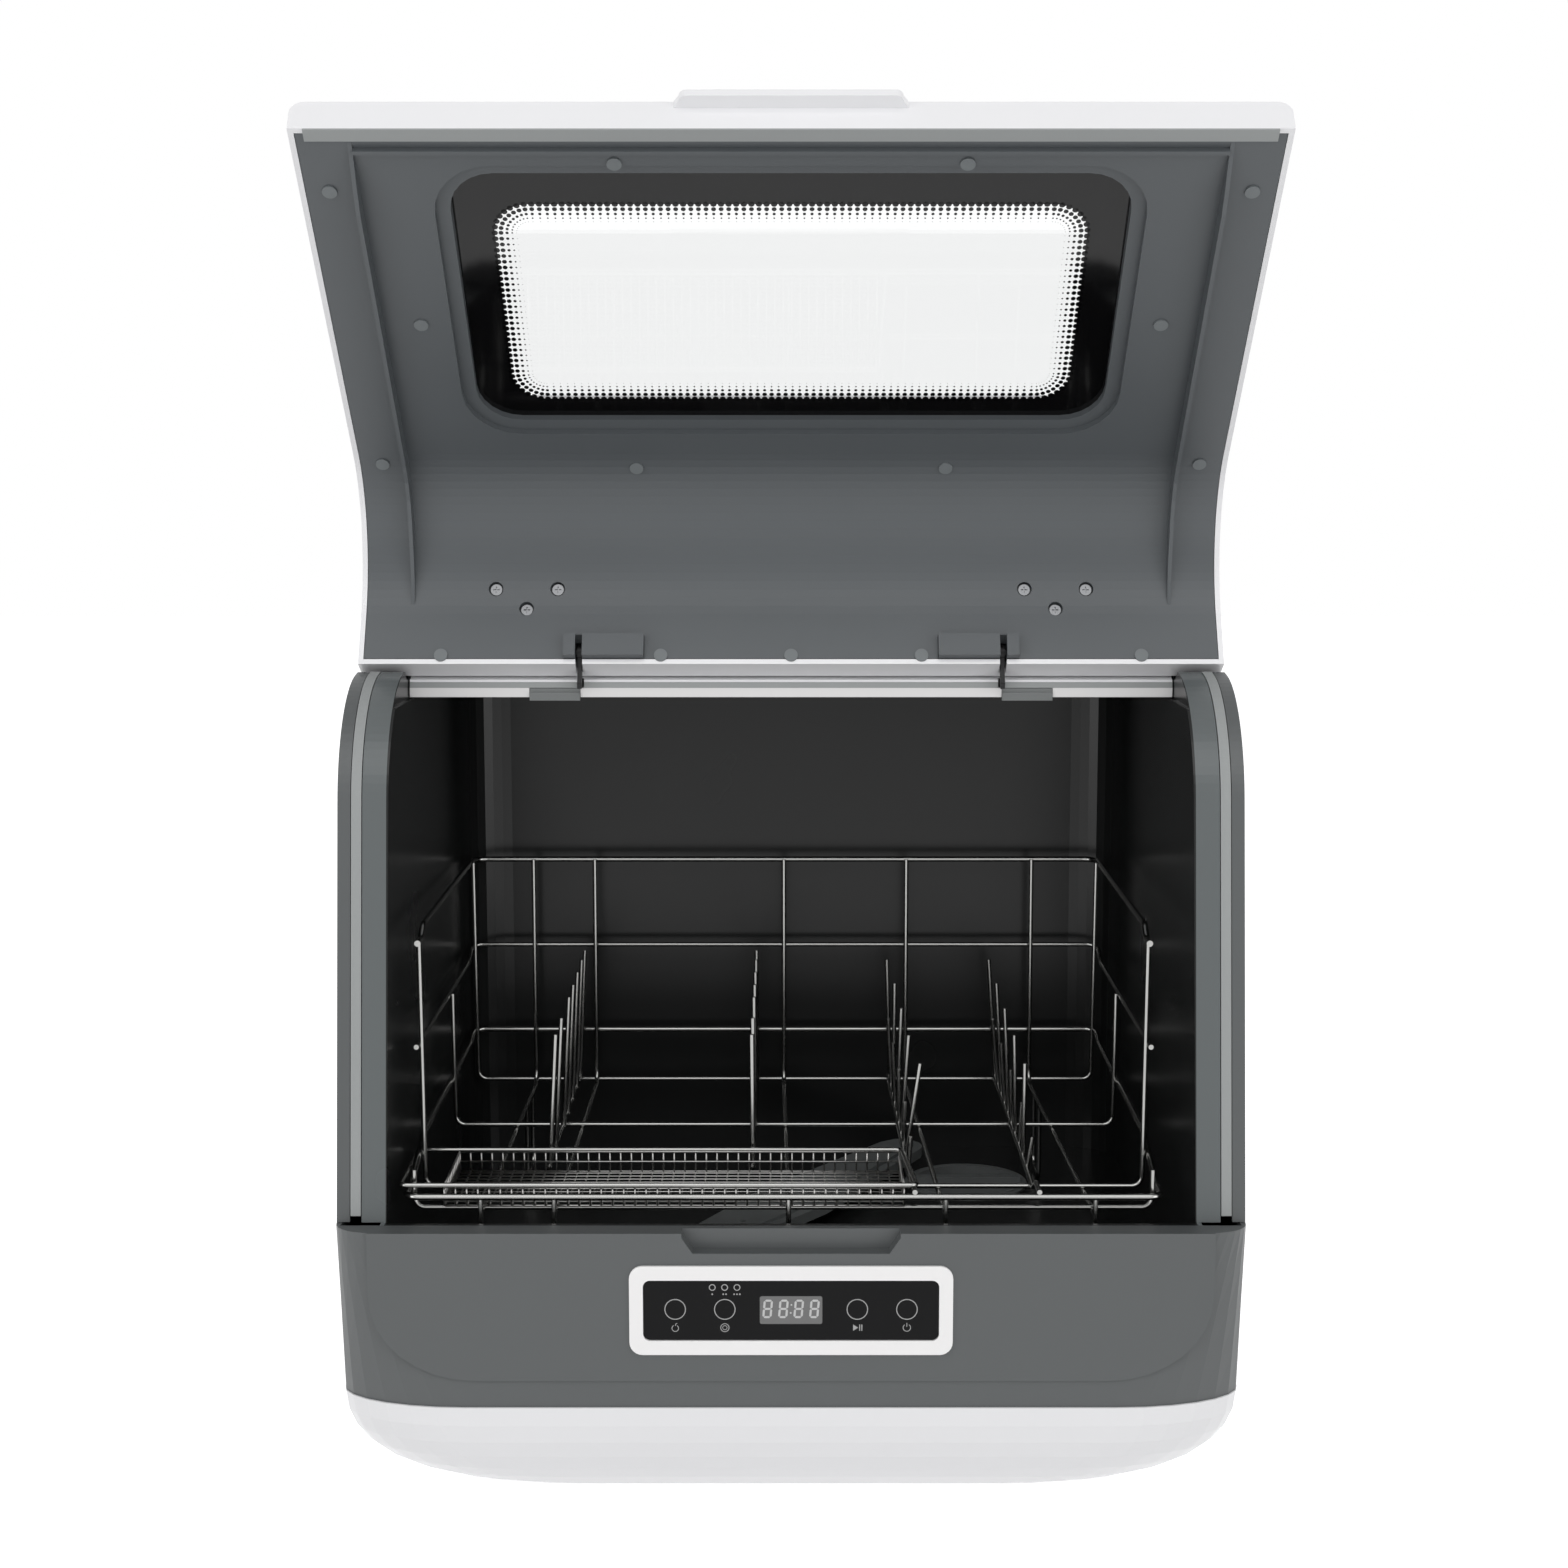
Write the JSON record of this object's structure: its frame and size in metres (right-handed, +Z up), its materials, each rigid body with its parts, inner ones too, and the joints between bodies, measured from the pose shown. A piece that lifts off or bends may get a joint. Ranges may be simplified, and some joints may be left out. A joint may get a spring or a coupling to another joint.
{
  "type": "countertop dishwasher",
  "caption": "Countertop dishwasher with a curved lid that flips up, a wire rack with plate tines and a mesh cutlery basket in a dark tub, and a touch panel at the front.",
  "frame": {"origin": "on the counter under the middle of the box that holds the machine with its lid open", "axes": "+X to the right of someone who faces the front, +Y to the back, +Z up; the lid is stored open"},
  "size_m": [0.42, 0.3986, 0.6406],
  "materials": {
    "white_shell": "moulded, soft gloss",
    "grey_panel": "fine texture",
    "tub_plastic": "smooth moulded",
    "liner_plastic": "fine texture",
    "seal_rubber": "matte",
    "foot_rubber": "matte",
    "clip_plastic": "smooth",
    "hinge_steel": "zinc plated",
    "window_glass": "clear, toughened",
    "key_panel": "gloss black",
    "circuit_board": "solder resist",
    "rack_steel": "bright polished stainless wire",
    "arm_plastic": "smooth",
    "pump_plastic": "smooth",
    "heater_steel": "satin tube"
  },
  "bodies": {
    "cabinet": {"base_bowl": "white_shell", "rubber_feet": "foot_rubber", "front_panel": "grey_panel", "side_panel_left": "grey_panel", "side_panel_right": "grey_panel", "rear_panel": "grey_panel", "top_cover": "white_shell", "inner_tub": "tub_plastic", "tub_gasket_left": "seal_rubber", "tub_gasket_right": "seal_rubber", "top_seal": "seal_rubber", "mouth_strip": "white_shell", "strip_clips": "clip_plastic", "hinge_arm_left": "hinge_steel", "hinge_arm_right": "hinge_steel", "control_frame": "white_shell", "control_panel": "key_panel", "display_window": "key_panel", "control_board": "circuit_board", "spray_post": "arm_plastic", "sump": "arm_plastic", "wash_pump": "pump_plastic", "drain_pump": "pump_plastic", "heater": "heater_steel", "inlet_valve": "white_shell", "inlet_spigot": "arm_plastic", "drain_spout": "arm_plastic", "drain_hose": "foot_rubber", "cord_gland": "foot_rubber", "power_board": "circuit_board"},
    "lid": {"lid_shell": "white_shell", "lid_liner": "liner_plastic", "window_glass": "window_glass", "lid_end_gasket": "seal_rubber", "liner_plugs": "clip_plastic", "hinge_box_left": "liner_plastic", "hinge_box_right": "liner_plastic", "hinge_screws": "hinge_steel"},
    "rack": {"rack_top_rail": "rack_steel", "rack_middle_rail": "rack_steel", "rack_lower_rail": "rack_steel", "rack_cross_wire_1": "rack_steel", "rack_cross_wire_2": "rack_steel", "rack_cross_wire_3": "rack_steel", "rack_cross_wire_4": "rack_steel", "rack_long_wires": "rack_steel", "rack_front_stubs": "rack_steel", "rack_feet": "rack_steel", "tine_row_left": "rack_steel", "tine_row_centre": "rack_steel", "tine_row_right": "rack_steel", "tine_row_far_right": "rack_steel"},
    "basket": {"basket_rim": "rack_steel", "basket_mesh": "rack_steel"},
    "spray_arm": {"spray_arm_top": "arm_plastic", "spray_arm_bottom": "arm_plastic", "spray_hub_cap": "arm_plastic"},
    "filter": {"filter_cup": "arm_plastic"}
  },
  "joints": [
    {"name": "lid_hinge", "type": "hinge", "parent": "cabinet", "child": "lid", "pos_m": [0, -0.05051, 0.3937], "axis": [1, 0, 0], "range_deg": [0, 125.7]},
    {"name": "rack_lift", "type": "slide", "parent": "cabinet", "child": "rack", "axis": [0, 0, 1], "range_m": [0, 0.024]},
    {"name": "basket_lift", "type": "slide", "parent": "rack", "child": "basket", "axis": [0, 0, 1], "range_m": [0, 0.008]},
    {"name": "spray_arm_spin", "type": "hinge", "parent": "cabinet", "child": "spray_arm", "pos_m": [0, -0.0181, 0.107], "axis": [0, 0, 1], "continuous": true},
    {"name": "filter_twist", "type": "hinge", "parent": "cabinet", "child": "filter", "pos_m": [0.095, 0.04829, 0.09], "axis": [0, 0, 1], "range_deg": [0, 45]}
  ]
}
